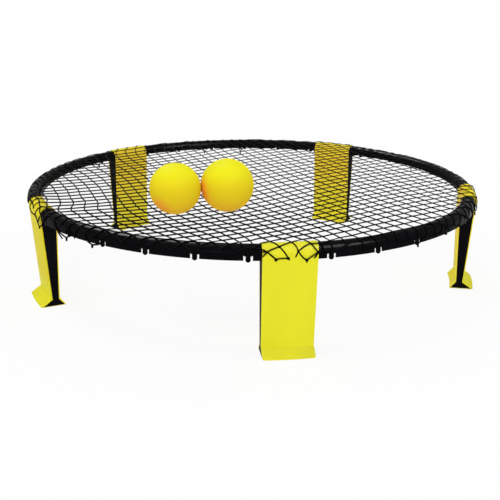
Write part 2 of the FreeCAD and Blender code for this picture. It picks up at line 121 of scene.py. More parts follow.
# Knots of the net's loose edge on two legs' heads: leg, the two counts, then across the head and
# round it from its top, in millimetres
HEAD_KNOTS = np.array([
    [0, -14, 10, -18.4, 13.4], [0, -13, 10, 2.7, 3.5], [0, -12, 11, 33.5, 8.9],
    [0, -15, 10, -38.8, 21.6], [0, -13, 11, 11.9, 21.9], [0, -12, 12, 45.1, 24.7],
    [0, -15, 11, -24.2, 34.8], [0, -14, 11, -4.3, 33.2], [0, -13, 12, 26.2, 37.3],
    [0, -14, 9, -31.5, -3.0], [0, -15, 9, -60.0, 9.5], [0, -11, 11, 51.0, 8.5],
    [4, -26, -9, -17.5, 2.0], [4, -26, -8, 7.2, 5.5], [4, -26, -7, 33.8, 10.0],
    [4, -27, -9, -19.2, 15.8], [4, -27, -8, 3.5, 20.8], [4, -27, -7, 18.0, 31.0],
    [4, -25, -8, 19.0, -6.0], [4, -25, -7, 49.8, 0.8], [4, -26, -6, 54.0, 19.5],
    [4, -27, -6, 38.0, 39.5], [4, -27, -5, 49.5, 46.5], [4, -26, -10, -41.0, 4.0],
    [4, -27, -10, -44.0, 17.0]])
# Leg, and the places across its head, in metres, between which the edge has only these knots
OWN_EDGES = ((0, -0.049, 0.044), (4, -0.024, 0.049))
# Knots on the right head's outer edge where the net is bunched up, by their counts, and how much
# larger they are. Then a knot's height against the cord's, in the net and where it hangs.
BIG_KNOTS = np.array([[8, 8], [9, 7], [8, 9]])
BIG_KNOT = 1.7
KNOT_HEIGHT = 0.65
LOW_KNOT_HEIGHT = 1.3
# Cords that are cut through: the counts of the two knots, where one count differs
CUT_CORDS = (((-14, 11), (-13, 11)), ((-27, -8), (-27, -7)))
# Loose ends of cord on three heads: leg, then from and to, in the millimetres of HEAD_KNOTS
LOOSE_ENDS = np.array([
    [0, 11.9, 21.9, 7.4, 32.0], [0, 45.1, 24.7, 38.4, 34.8], [0, -24.2, 34.8, -25.0, 38.0],
    [0, -38.8, 21.6, -46.5, 29.5], [0, -4.3, 33.2, -2.2, 36.6], [0, 26.2, 37.3, 26.4, 41.6],
    [4, 49.5, 46.5, 46.0, 50.5], [1, -12.4, 23.4, -13.5, 35.0], [1, -12.4, 23.4, -18.0, 32.0],
    [1, -32.1, 35.6, -34.0, 46.5]])
# A slack cord on a head, from knot to knot: leg, then the places that it goes by
SLACK_CORD = (4, np.array([[-19.2, 15.8], [-23.5, 21.0], [-24.5, 28.0], [-18.0, 34.5],
                           [0.0, 34.0], [18.0, 31.0]]))
# Loose knots that hang lower than the skirt: the knot, then the places that its two cords go by up to
# the net's edge. A place is a turn round the ring in degrees and a length past its top in millimetres.
DROPS = (
    ((217.0, 40.0), ((213.0, 33.5), (211.4, 16.3)), ((217.9, 34.5), (217.6, 23.5))),
    ((225.8, 37.5), ((223.7, 32.0), (223.6, 18.2)), ((228.3, 33.0), (228.5, 23.5))),
    ((85.9, 43.5), ((84.5, 23.5),), ((87.0, 22.5),)),
    ((97.7, 40.7), ((95.5, 23.5),), ((99.4, 30.4),)),
    ((135.6, 43.0), ((134.6, 23.5),), ((142.3, 12.4),)),
    ((300.5, 35.0), ((297.7, 24.0),), ((303.4, 25.2),)),
    ((334.0, 38.5), ((333.4, 23.5),), ((338.2, 35.5),)),
    ((26.0, 39.0), ((23.5, 23.5),), ((26.8, 26.3),)),
)
# A loose cord beside the first of them, by the same kind of places
STRAY_CORD = ((211.4, 16.3), (213.0, 32.5), (214.0, 39.0), (215.2, 44.5))
# The low cords and their frayed ends against the net's cord, and a frayed end's millimetres
LOW_CORD = 1.15
FRAYED_CORD = 1.7
FRAYED_LENGTH = 6.0
# Middle of an edge loop: distance from the ring's axis, and height
LOOP_MIDDLE = (0.4561, 0.1812)
# Where the mesh is pulled aside: middle, shift, and how far the pull reaches, in metres
PULLS = np.array([
    [-0.362, -0.203, -0.0085, 0.0, 0.085, 0.024],
    [-0.345, -0.235, -0.0030, 0.0, 0.070, 0.050],
    [-0.360, -0.148, 0.0035, 0.0, 0.080, 0.020],
    [-0.419, -0.080, -0.0056, -0.0010, 0.016, 0.045],
    [-0.1066, -0.4655, 0.0016, 0.0072, 0.014, 0.014],
    [0.3012, -0.3706, -0.0046, 0.0057, 0.014, 0.014]])
# Painted orange bounce light and shade on the balls: middle, full within, gone past, in metres, how
# strong, and the least x.
# The first is on the right ball only, where the left one touches it; the second is low on the left
# ball's shaded side.
PAINTED_BOUNCE_PATCHES = (
    ((-0.1240, -0.2560, 0.2385), 0.005, 0.034, 1.00, -0.1268),
    ((-0.2010, -0.2800, 0.2190), 0.004, 0.027, 0.80, -1.0),
)
# Heights between which a ball's painted shade goes from its warmer lower yellow to its middle yellow,
# and from that to its upper lemon
BALL_SHADE_LOWER = (0.200, 0.246)
BALL_SHADE_UPPER = (0.240, 0.288)
# A cover's inner side, which gets a painted shade, ends and its outer side begins at these distances
# from the ring's axis
COVER_SIDES = (0.4315, 0.4385)
# The side legs' painted shade, a deeper gold, comes in over these distances from the middle, and over
# these heights.
# It changes from the left legs' darker painted shade to the right ones' over these places.
SHADED_SIDE_LEGS = (0.1, 0.3)
SIDE_SHADE_ABOVE_FOOT = (0.025, 0.06)
SIDE_SHADE_LEFT_TO_RIGHT = (-0.1, 0.1)
# The inner side's painted shade changes from its low yellow to a more orange gold over these heights
INSIDE_SHADE_HEIGHTS = (0.03, 0.15)

# The camera, as fitted to the ring's outline and the feet, and the floor, just under the feet
CAMERA_PLACE = (-0.24497, -1.75168, 0.61892)
CAMERA_AHEAD = (0.12999, 0.94155, -0.31080)
CAMERA_ROLL = math.radians(0.3849)
FLOOR_REACH = 12.0
FLOOR_LEVEL = -0.0002
# Lamps: name, the setting for its strength, its share of that, the way to it, width in degrees
LAMPS = (
    ("key", "key", 1.0, (-0.25, 0.05, 1.0), 20.0),
    ("fill_left", "fill", 0.47, (-0.45, -1.0, 0.14), 16.0),
    ("fill_right", "fill", 0.60, (0.38, -1.0, 0.14), 16.0),
    ("glint_behind", "glint", 1.8, (-0.24, 0.60, 0.77), 24.0),
    ("glint_before", "glint", 2.7, (0.46, -0.48, 0.74), 30.0),
)


def smooth(x):
    """0 below 0, 1 above 1, and 3x^2 - 2x^3 between."""
    x = np.clip(x, 0.0, 1.0)
    return x * x * (3.0 - 2.0 * x)


def rounded(line):
    """A line with its corners cut twice and its ends kept."""
    for _ in range(2):
        inner = np.stack([0.75 * line[:-1] + 0.25 * line[1:], 0.25 * line[:-1] + 0.75 * line[1:]], 1)
        line = np.concatenate([line[:1], inner.reshape(-1, 2), line[-1:]])
    return line


def unit(vectors):
    """The vectors, each made 1 long."""
    return vectors / np.linalg.norm(vectors, axis=-1, keepdims=True)


def in_scene(name, data):
    """A new object in the scene."""
    made = bpy.data.objects.new(name, data)
    bpy.context.scene.collection.objects.link(made)
    return made


# Net's flat layout

def ways(turn):
    """The directions outwards and sideways at a turn round the ring: (cos, sin, 0), (-sin, cos, 0)."""
    cos, sin = np.cos(turn), np.sin(turn)
    return np.stack([cos, sin, 0 * cos], -1), np.stack([-sin, cos, 0 * cos], -1)


def past_ring(places):
    """Places on the net's flat layout from turns in degrees and lengths past the ring's top in mm."""
    turns, lengths = np.array(places).T
    return ways(np.radians(turns))[0][:, :2] * (TUBE_RING + lengths / 1000)[:, None]


def counts(x, y):
    """The two cord counts at a place. Outside COUNT_REACH they go on along the radius at the rate
    that they have there."""
    r = np.hypot(x, y)
    inside = np.minimum(1.0, COUNT_REACH / np.maximum(r, 1e-9))
    found = []
    for table in (COUNT_U, COUNT_V):
        here, before = (polyval2d(x * part / COUNT_SCALE, y * part / COUNT_SCALE, table)
                        for part in (inside, inside * (1 - COUNT_STEP)))
        rate = (here - before) / (COUNT_STEP * COUNT_REACH)
        found.append(here + rate * np.maximum(r - COUNT_REACH, 0.0))
    return found


def place(u, v):
    """Where the counts are u and v: a first guess from a polynomial fitted backwards on rings of
    places, then steps along the counts' slopes. Returns x, y and the remaining error."""
    reach, powers, scale = 0.485, 8, 20
    rounds, near, longest = 14, 1e-6, 0.01
    r, t = np.meshgrid(np.linspace(0.0, reach, 45), np.radians(np.arange(0, 360, 4)))
    places = (ways(t)[0][..., :2] * r[..., None]).reshape(-1, 2)

    def terms(p, q):
        return np.stack([(p / scale) ** i * (q / scale) ** j
                         for i in range(powers) for j in range(powers - i)], -1)

    fit = np.linalg.lstsq(terms(*counts(*places.T)), places, rcond=None)[0]
    x, y = np.moveaxis(terms(u, v) @ fit, -1, 0)
    for _ in range(rounds):
        fu, fv = counts(x, y)
        ux, vx = counts(x + near, y)
        uy, vy = counts(x, y + near)
        a, b, c, d = (ux - fu) / near, (uy - fu) / near, (vx - fv) / near, (vy - fv) / near
        det = a * d - b * c
        det = np.where(np.abs(det) < 1.0, 1.0, det)
        eu, ev = u - fu, v - fv
        x = x + np.clip((d * eu - b * ev) / det, -longest, longest)
        y = y + np.clip((a * ev - c * eu) / det, -longest, longest)
    fu, fv = counts(x, y)
    return x, y, np.hypot(u - fu, v - fv)


def lengths_past_top(x, y):
    """How far out a place lies past the ring's top, its sideways place and its length past the top
    on the nearest leg's head, and that leg."""
    turn = (np.arctan2(y, x)[..., None] - LEGS + math.pi) % (2 * math.pi) - math.pi
    leg = np.argmin(np.abs(turn), -1)
    turn = np.take_along_axis(turn, leg[..., None], -1)[..., 0]
    r = np.hypot(x, y)
    return r - TUBE_RING, r * np.sin(turn), r * np.cos(turn) - AXIS_RING, leg


def wrap(past, radius, axis, ahead):
    """Points and normals that are level up to a tube's top line, then go round the tube for a quarter
    turn, then straight down. The tube's axis is at TUBE_Z, that far out along ahead."""
    angle = np.clip(past / radius, 0.0, math.pi / 2)
    below = np.maximum(past - radius * math.pi / 2, 0.0)
    out = np.where(past < 0, past, radius * np.sin(angle))
    point = ahead * (axis + out)[..., None]
    point[..., 2] = TUBE_Z + (radius * np.cos(angle) - below)
    normal = ahead * np.sin(angle)[..., None]
    normal[..., 2] = np.cos(angle)
    return point, normal


def on_the_set(places, cord):
    """The net's flat places in space: level inside the ring, over the ring's tube outside, and over
    the legs' heads, which stand a little higher. Returns points, normals and the cord's half width
    and half height, which is less where it presses on the rim or a head."""
    x, y = places.T
    past, side, past_head, leg = lengths_past_top(x, y)
    wide = cord * (1.0 + THINNER[0] * x + THINNER[1] * y)
    press = smooth((past + PRESS_START) / PRESS_RUN)
    tall = wide * (1.0 - (1.0 - PRESSED) * press)
    spanning = NET_TOP - TUBE_Z - TUBE_RADIUS - wide
    lift = spanning + (CLEAR + tall - spanning) * press
    ring, head = TUBE_RADIUS + lift, HEAD_RADIUS + lift
    point, normal = wrap(past, ring, TUBE_RING, ways(np.arctan2(y, x))[0])
    ahead, across = ways(LEGS[leg])
    head_point, head_normal = wrap(past_head, head, AXIS_RING, ahead)
    head_point += across * side[..., None]
    level = TUBE_Z + (ring + (head - ring) * smooth((past_head + HEAD_RISE) / HEAD_RISE))
    head_point[..., 2] = np.where(past_head < 0, level, head_point[..., 2])
    near = smooth(1.0 - (np.abs(side) - LEG_WIDTH / 2 - HEAD_MARGIN) / HEAD_BLEND)[..., None]
    point = point + (head_point - point) * near
    normal = normal + (head_normal - normal) * near
    return point, unit(normal), wide, tall


# Meshes

class Sheaf:
    """Collects tubes and knots, and makes one mesh of them."""

    def __init__(self):
        self.points, self.faces, self.marks, self.total = [], [], [], 0

    def add(self, points, faces, marks):
        """Takes points, faces as (count, corners) arrays, and marks, which are their texture places."""
        self.points.append(points)
        for block, mark in zip(faces, marks):
            self.faces += (block + self.total).tolist()
            self.marks.append(mark.reshape(-1, 2))
        self.total += len(points)

    def tube(self, line, normal, wide, tall, sides, closed=False):
        """An ellipse carried along the line. At each point its half height lies along the normal and
        its half width along the normal crossed with the line's direction. The ends are flat caps.
        Its texture place is the turn round it and the run along it in centimetres."""
        ahead = np.roll(line, -1, 0) - np.roll(line, 1, 0)
        if not closed:
            ahead[0] = line[1] - line[0]
            ahead[-1] = line[-1] - line[-2]
        ahead = unit(ahead)
        across = unit(np.cross(ahead, normal))
        over = np.cross(across, ahead)
        turn = 2 * math.pi * np.arange(sides) / sides
        up = over * np.reshape(tall, (-1, 1))
        aside = across * np.reshape(wide, (-1, 1))
        points = (line[:, None] + up[:, None] * np.cos(turn)[:, None]
                  + aside[:, None] * np.sin(turn)[:, None]).reshape(-1, 3)
        n = len(line)
        i, j = np.meshgrid(np.arange(n if closed else n - 1), np.arange(sides), indexing="ij")
        corners = ((0, 0), (0, 1), (1, 1), (1, 0))
        quads = np.stack([(i + a) % n * sides + (j + b) % sides for a, b in corners], -1)
        step = np.linalg.norm(np.roll(line, -1, 0) - line, axis=1)
        run = np.concatenate([[0], np.cumsum(step)]) * 100
        marks = np.stack([np.stack([(j + b) / sides, run[i + a]], -1) for a, b in corners], -2)
        faces, places = [quads.reshape(-1, 4)], [marks.reshape(-1, 4, 2)]
        if not closed:
            ends = np.stack([np.arange(sides)[::-1], (n - 1) * sides + np.arange(sides)])
            faces.append(ends)
            places.append(np.stack([np.zeros((2, sides)), np.full((2, sides), run[-1])], -1))
        self.add(points, faces, places)

    def knots(self, centres, normals, size, height, turns):
        """At each centre one twenty-sided knob of its own size and height, turned about the normal from
        a fixed direction, and narrower one way. g is the golden ratio."""
        narrower, start, mark_scale = 0.85, (0.31, 0.95, 0.02), 0.2
        g = (1 + 5 ** 0.5) / 2
        corners = np.array([[a, b * g, 0] for b in (1, -1) for a in (-1, 1)]) / math.hypot(1, g)
        shape = np.concatenate([np.roll(corners, places, 1) for places in range(3)])
        tris = np.array([[0, 11, 5], [0, 5, 1], [0, 1, 7], [0, 7, 10], [0, 10, 11], [1, 5, 9],
                         [5, 11, 4], [11, 10, 2], [10, 7, 6], [7, 1, 8], [3, 9, 4], [3, 4, 2],
                         [3, 2, 6], [3, 6, 8], [3, 8, 9], [4, 9, 5], [2, 4, 11], [6, 2, 10],
                         [8, 6, 7], [9, 8, 1]])
        side = unit(np.cross(normals, start))
        other = np.cross(normals, side)
        first = side * np.cos(turns)[:, None] + other * np.sin(turns)[:, None]
        second = np.cross(normals, first)
        size, height = np.reshape(size, (-1, 1, 1)), np.reshape(height, (-1, 1, 1))
        points = (centres[:, None] + first[:, None] * shape[None, :, :1] * size
                  + second[:, None] * shape[None, :, 1:2] * size * narrower
                  + normals[:, None] * shape[None, :, 2:] * height).reshape(-1, 3)
        faces = (tris[None] + 12 * np.arange(len(centres))[:, None, None]).reshape(-1, 3)
        marks = np.tile((shape[tris][..., :2] * mark_scale)[None], (len(centres), 1, 1, 1))
        self.add(points, [faces], [marks])

    def make(self, name):
        """One mesh and its object from all that was added."""
        mesh = bpy.data.meshes.new(name)
        mesh.from_pydata(np.concatenate(self.points), [], self.faces)
        layer = mesh.uv_layers.new(name="UVMap")
        layer.data.foreach_set("uv", np.concatenate(self.marks).astype(np.float32).ravel())
        mesh.shade_smooth()
        mesh.validate()
        mesh.update()
        return in_scene(name, mesh)


def beside(grid):
    """The sum of each node's four neighbours in a grid, with nothing past its border."""
    padded = np.pad(grid, [(1, 1), (1, 1)] + [(0, 0)] * (grid.ndim - 2))
    return padded[2:, 1:-1] + padded[:-2, 1:-1] + padded[1:-1, 2:] + padded[1:-1, :-2]


def on_head(leg, places):
    """The flat places of points on legs' heads, given across a head and round it in millimetres."""
    ahead, across = ways(LEGS[np.asarray(leg, int)])
    side, past = np.moveaxis(places / 1000, -1, 0)
    return ahead[..., :2] * (AXIS_RING + past)[..., None] + across[..., :2] * side[..., None]


def in_grid(u, v):
    """Where knots with these counts are in the grid."""
    return np.asarray(u, int) - KNOTS_U[0], np.asarray(v, int) - KNOTS_V[0]


def net_layout(jitter, reach, head_reach, seed):
    """The knots of the stretched net on a flat sheet, as a grid by the two counts: which of them
    there are, how many cords each has, which neighbours a cord joins, where they lie, how far each
    was moved, and which are held in place.

    A knot exists where its place is inside the edge and it has two cords or more. The ones next to
    hooks are moved to them, the ones in HEAD_KNOTS to their places there, and the others follow as a
    stretched skin would: each moves by the mean of its neighbours' moves."""
    x, y, error = place(*np.meshgrid(KNOTS_U, KNOTS_V, indexing="ij"))
    past, side, past_head, leg = lengths_past_top(x, y)
    edge = np.where(np.abs(side) < LEG_WIDTH / 2 + OVER_HEAD, head_reach, reach)
    there = (error < 1e-3) & (past < edge) & (np.hypot(x, y) < NET_REACH)
    nodes = np.stack([x, y], -1)
    move = np.random.default_rng(seed).normal(0.0, jitter, nodes.shape)
    for px, py, dx, dy, wide, deep in PULLS:
        share = np.exp(-((x - px) / wide) ** 2 - ((y - py) / deep) ** 2)
        move += share[..., None] * np.array([dx, dy])
    fixed = np.zeros(there.shape, bool)
    listed = in_grid(*HEAD_KNOTS[:, 1:3].T)
    for own, low, high in OWN_EDGES:
        there &= ~((leg == own) & (side > low) & (side < high) & (past_head > 0.0))
    there[listed] = fixed[listed] = True
    move[listed] = on_head(HEAD_KNOTS[:, 0], HEAD_KNOTS[:, 3:]) - nodes[listed]
    for _ in range(3):
        there &= beside(there.astype(int)) >= 2
    links = beside(there.astype(int)) * there
    on_edge = there & (links < 4) & (np.abs(side) > LEG_WIDTH / 2)
    for turn in HOOKS:
        goal = (TUBE_RING + HOOK_KNOT) * ways(turn)[0][:2]
        gap = np.where(on_edge & ~fixed, np.hypot(x - goal[0], y - goal[1]), np.inf)
        found = np.unravel_index(np.argmin(gap), gap.shape)
        if gap[found] > HOOK_CATCH:
            raise RuntimeError("a hook has no knot near it")
        move[found] = goal - nodes[found]
        fixed[found] = True
    loose = there & ~fixed & (past > FOLLOW_FROM)
    pull = np.where(fixed[..., None], move, 0.0)
    for _ in range(FOLLOW_ROUNDS):
        mean = beside(pull * there[..., None]) / np.maximum(links, 1)[..., None]
        pull = np.where(loose[..., None], FOLLOW_SHARE * mean, pull)
    move = np.where(fixed[..., None], move, move + pull)
    along_u = there[:-1] & there[1:]
    along_v = there[:, :-1] & there[:, 1:]
    for knot, other in CUT_CORDS:
        along = along_u if knot[0] != other[0] else along_v
        along[in_grid(*knot)] = False
    return there, links, along_u, along_v, nodes, move, fixed


def runs(joined):
    """The first and last knot of each unbroken cord in a row of joined neighbours."""
    edges = np.flatnonzero(np.diff(np.concatenate([[0], joined.astype(int), [0]])))
    return zip(edges[::2], edges[1::2])


def hook_loops(cord):
    """At each hook a closed loop of cord: from the knot on the rim's outside down through one notch,
    behind the tongue and back through the other notch, 0.15 to 0.35 mm clear of them. Its corners
    are cut once. (across, out, up), worked out in millimetres and given in metres."""
    notch = (HOOK_WIDTH / 2 + NOTCH_WIDTH / 2) * 1000
    outside = (TUBE_RING + TUBE_RADIUS + cord) * 1000 + 0.35
    behind = (SKIRT_INSIDE - cord) * 1000 - 0.25
    top = (NOTCH_TOP - cord) * 1000 - 0.15
    half = np.array([[0.0, outside + 0.3, 184.6], [2.6, outside + 0.2, 183.6],
                     [5.0, outside + 0.1, 181.2], [notch, outside - 1.6, top + 0.2],
                     [notch, (outside + behind) / 2, top - 0.3], [notch - 0.6, behind + 1.2, top - 0.5],
                     [notch - 2.6, behind, top - 0.8], [0.0, behind, top - 1.0]])
    line = np.concatenate([half, (half * [-1, 1, 1])[-2:0:-1]]) / 1000
    after = np.roll(line, -1, 0)
    return np.stack([0.75 * line + 0.25 * after, 0.25 * line + 0.75 * after], 1).reshape(-1, 3)


# Materials

class Nodes:
    """A node tree, with the patterns that the finishes share."""

    def __init__(self, tree):
        self.nodes, self.links = tree.nodes, tree.links

    def feed(self, socket, value):
        """Links a socket to another, or gives it a value, and a colour its full alpha."""
        if isinstance(value, bpy.types.NodeSocket):
            self.links.new(value, socket)
        else:
            socket.default_value = (*value, 1) if socket.type == "RGBA" else value

    def add(self, kind, **values):
        """A new node. A value goes to its input of that name, or else to its setting."""
        made = self.nodes.new("ShaderNode" + kind)
        for key, value in values.items():
            if key in made.inputs:
                self.feed(made.inputs[key], value)
            else:
                setattr(made, key, value)
        return made

    def coordinates(self, kind):
        """Object coordinates, or the piece's own UV map."""
        return self.add("TexCoord").outputs[kind]

    def scaled(self, source, scale):
        """Coordinates times three factors."""
        return self.add("Mapping", Vector=source, Scale=scale).outputs["Vector"]

    def maths(self, operation, *values):
        """One calculation with sockets and numbers."""
        made = self.add("Math", operation=operation)
        for socket, value in zip(made.inputs, values):
            self.feed(socket, value)
        return made.outputs[0]

    def noise(self, source, scale, detail=4.0, roughness=0.5):
        """A noise pattern on the given coordinates."""
        return self.add("TexNoise", Vector=source, Scale=scale, Detail=detail,
                        Roughness=roughness).outputs["Fac"]

    def band(self, value, within, gives=(0.0, 1.0)):
        """Maps a value smoothly from one range to another."""
        made = self.add("MapRange", interpolation_type="SMOOTHSTEP", Value=value)
        for socket, limit in zip(("From Min", "From Max", "To Min", "To Max"), (*within, *gives)):
            made.inputs[socket].default_value = limit
        return made.outputs["Result"]

    def mix(self, amount, first, second):
        """Mixes two colours, each a colour or a socket. 6, 7 and 2 are the node's colour sockets."""
        made = self.add("Mix", data_type="RGBA")
        for index, value in ((0, amount), (6, first), (7, second)):
            self.feed(made.inputs[index], value)
        return made.outputs[2]

    def seen(self):
        """1 for what the camera sees, straight, mirrored or through glass, and 0 for its light."""
        path = self.add("LightPath").outputs
        seen = self.maths("MAXIMUM", path["Is Camera Ray"], path["Is Glossy Ray"])
        return self.maths("MAXIMUM", seen, path["Is Transmission Ray"])


class Finish(Nodes):
    """A material with its plain values on the shader's own sockets."""

    def __init__(self, name, colour, roughness, specular=0.5, metallic=0.0):
        self.material = bpy.data.materials.new(name)
        self.material.use_nodes = True
        super().__init__(self.material.node_tree)
        self.surface = self.nodes["Principled BSDF"]
        for socket, value in (("Base Color", colour), ("Roughness", roughness),
                              ("Specular IOR Level", specular), ("Metallic", metallic)):
            self.give(socket, value)

    def give(self, socket, value):
        """Gives one of the shader's sockets a value, or a pattern of values."""
        self.feed(self.surface.inputs[socket], value)

    def rough(self, pattern, gives, within=(0.3, 0.7)):
        """Varies the roughness with a pattern."""
        self.give("Roughness", self.band(pattern, within, gives))

    def bump(self, height, strength, distance):
        """Raises the surface by a pattern."""
        made = self.add("Bump", Height=height, Strength=strength, Distance=distance)
        self.give("Normal", made.outputs["Normal"])


def rim_material(colours):
    """Gloss black moulding: a faint orange peel, hazy rub marks where the cords cross it."""
    finish = Finish("rim_plastic", colours.rim, 0.2, specular=0.014)
    spot = finish.coordinates("Object")
    rubs = finish.noise(finish.scaled(spot, (1.0, 1.0, 0.35)), scale=95.0, detail=5.0, roughness=0.62)
    haze = finish.noise(spot, scale=14.0, detail=3.0, roughness=0.55)
    rubbed = finish.band(rubs, (0.56, 0.72))
    finish.give("Base Color", finish.mix(rubbed, colours.rim, colours.rim_rub))
    finish.rough(haze, (0.15, 0.26), within=(0.3, 0.75))
    finish.bump(finish.noise(spot, scale=420.0, detail=2.0), strength=0.10, distance=0.0004)
    return finish.material


def core_material(colours):
    """Satin black moulding with a fine grain."""
    finish = Finish("leg_black", colours.core, 0.52, specular=0.02)
    spot = finish.coordinates("Object")
    cloud = finish.noise(finish.scaled(spot, (1.0, 1.0, 0.2)), scale=30.0, roughness=0.6)
    scuffs = finish.band(cloud, (0.45, 0.7))
    finish.give("Base Color", finish.mix(scuffs, colours.core, colours.core_scuff))
    finish.rough(cloud, (0.46, 0.6))
    finish.bump(finish.noise(spot, scale=900.0, detail=2.0), strength=0.22, distance=0.0002)
    return finish.material


def cover_material(colours):
    """Semi-gloss lemon moulding, with less gloss and a painted shade of deeper gold on the side and
    back legs above their feet, darker on the left. The side that faces the ring's middle has a painted
    shade of deeper gold."""
    finish = Finish("leg_yellow", colours.cover, 0.42, specular=0.04)
    spot = finish.coordinates("Object")
    part = finish.add("SeparateXYZ", Vector=spot).outputs
    reach = finish.add("VectorMath", operation="LENGTH", Vector=finish.scaled(spot, (1, 1, 0)))
    cloud = finish.noise(finish.scaled(spot, (1.0, 1.0, 0.3)), scale=16.0, roughness=0.55)
    # Painted shade: the side and back legs a deeper gold above their feet, darker on the left ones
    aside = finish.band(finish.maths("ABSOLUTE", part["X"]), SHADED_SIDE_LEGS)
    golden = finish.maths("MULTIPLY", aside, finish.band(part["Z"], SIDE_SHADE_ABOVE_FOOT))
    lemon = finish.mix(finish.band(cloud, (0.35, 0.7)), colours.cover, colours.cover_shade)
    gold = finish.mix(finish.band(part["X"], SIDE_SHADE_LEFT_TO_RIGHT), colours.cover_left_painted_shade, colours.cover_right_painted_shade)
    # Painted shade: the side that faces the ring's middle is a deeper gold, more orange up high
    inner = finish.mix(finish.band(part["Z"], INSIDE_SHADE_HEIGHTS), colours.cover_inside_low_painted_shade,
                       colours.cover_inside_painted_shade)
    body = finish.mix(finish.band(reach.outputs["Value"], COVER_SIDES), inner,
                      finish.mix(golden, lemon, gold))
    specks = finish.noise(spot, scale=210.0, detail=6.0, roughness=0.7)
    scuffs = finish.band(specks, (0.66, 0.76), (0.0, 0.35))
    finish.give("Base Color", finish.mix(scuffs, body, colours.cover_scuff))
    finish.give("Specular IOR Level", finish.band(aside, (0.0, 1.0), (0.04, 0.012)))
    finish.rough(cloud, (0.33, 0.45))
    finish.bump(finish.noise(spot, scale=340.0, detail=3.0), strength=0.10, distance=0.0003)
    return finish.material


def clip_material(colours):
    """Spring steel with drawn streaks."""
    finish = Finish("clip_steel", colours.steel, 0.32, metallic=1.0)
    lengthwise = finish.scaled(finish.coordinates("Object"), (1.0, 1.0, 0.12))
    streaks = finish.noise(lengthwise, scale=600.0, detail=3.0, roughness=0.6)
    finish.rough(streaks, (0.24, 0.42))
    finish.bump(streaks, strength=0.15, distance=0.0001)
    return finish.material


def cord_material(colours):
    """Twisted black cord: strands that lie at a slant round the cord, with a dusty lighter bloom."""
    finish = Finish("net_cord", colours.cord, 0.70, specular=0.015)
    slant = finish.scaled(finish.coordinates("UV"), (3.0, 5.0, 1.0))
    twist = finish.add("TexWave", wave_type="BANDS", bands_direction="DIAGONAL", Vector=slant,
                       Scale=0.5, Distortion=0.6).outputs["Fac"]
    strands = finish.mix(finish.band(twist, (0.1, 0.9)), colours.cord_gap, colours.cord)
    dust = finish.band(finish.noise(finish.coordinates("Object"), scale=60.0, roughness=0.6),
                       (0.5, 0.8), (0.0, 0.5))
    finish.give("Base Color", finish.mix(dust, strands, colours.cord_bloom))
    finish.bump(twist, strength=0.6, distance=0.0004)
    return finish.material


def ball_material(colours):
    """Satin yellow rubber with painted shade, warmer low down, painted orange bounce light and shade
    where the balls touch and low on the left one, fine grain and a few rubbed patches.
    """
    finish = Finish("ball_rubber", colours.ball, 0.6, specular=0.012)
    spot = finish.coordinates("Object")
    part = finish.add("SeparateXYZ", Vector=spot).outputs
    # Painted shade: warmer and more orange towards the bottom, lemon on top
    body = finish.mix(finish.band(part["Z"], BALL_SHADE_LOWER), colours.ball_low_painted_shade, colours.ball_middle_painted_shade)
    body = finish.mix(finish.band(part["Z"], BALL_SHADE_UPPER), body, colours.ball)
    # Painted orange bounce light and shade where the balls touch and low on the left ball
    for middle, near, far, strength, least in PAINTED_BOUNCE_PATCHES:
        away = finish.add("VectorMath", operation="DISTANCE", Vector=spot)
        away.inputs[1].default_value = middle
        round_it = finish.band(away.outputs["Value"], (near, far), (strength, 0.0))
        beyond = finish.band(part["X"], (least - 0.001, least + 0.001))
        share = finish.maths("MULTIPLY", round_it, beyond)
        body = finish.mix(share, body, colours.ball_painted_bounce)
    rub = finish.noise(spot, scale=24.0, detail=5.0, roughness=0.6)
    rubbed = finish.band(rub, (0.58, 0.8), (0.0, 0.45))
    finish.give("Base Color", finish.mix(rubbed, body, colours.ball_rub))
    finish.rough(rub, (0.54, 0.68))
    finish.bump(finish.noise(spot, scale=700.0, detail=2.0), strength=0.12, distance=0.0003)
    return finish.material


def valve_material(colours):
    """Matte black rubber."""
    finish = Finish("valve_rubber", colours.valve, 0.7, specular=0.2)
    grain = finish.noise(finish.coordinates("Object"), scale=500.0, detail=3.0, roughness=0.6)
    finish.rough(grain, (0.62, 0.8))
    finish.bump(grain, strength=0.3, distance=0.0002)
    return finish.material


def finish_nodes(start, material):
    """Puts a material on every solid whose name starts with start."""
    found = [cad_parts[name] for name in sorted(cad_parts) if name.startswith(start)]
    if not found:
        raise RuntimeError("no solid is named " + start)
    for piece in found:
        piece.data.materials.clear()
        piece.data.materials.append(material)


# Settings, each by its name, description and default

def number(name, description, default, **more):
    return bpy.props.FloatProperty(name=name, description=description, default=default, **more)


def length(name, description, default):
    return number(name, description, default, min=0.0, subtype="DISTANCE", unit="LENGTH", precision=4)


def colour(name, description, default):
    return bpy.props.FloatVectorProperty(name=name, description=description, default=default, size=3,
                                         min=0.0, max=1.0, subtype="COLOR")


class RoundnetNetSettings(bpy.types.PropertyGroup):
    cord: length("Cord radius", "Half the cord's thickness", 0.00112)
    knot: length("Knot size", "Half a knot's width", 0.0021)
    edge_knot: length("Edge knot size", "Half the width of a knot on the net's edge", 0.0028)
    loop: length("Loop cord radius", "Half the thickness of the loops on the hooks", 0.00092)
    jitter: length("Unevenness", "How far knots lie from an even mesh", 0.0007)
    reach: length("Edge reach", "How far past the rim's top the edge knots may lie", 0.036)
    head_reach: length("Head reach", "How far past a head's top the edge knots may lie", 0.040)
    slack: length("Edge slack", "How far the edge's cords bow between knots", 0.0012)
    tail: length("Tail length", "Length of the cord's end past an edge knot", 0.005)
    sides: bpy.props.IntProperty(name="Sides", description="Sides of a cord's tube", default=5, min=3)
    seed: bpy.props.IntProperty(name="Seed", description="Picks the unevenness", default=4)


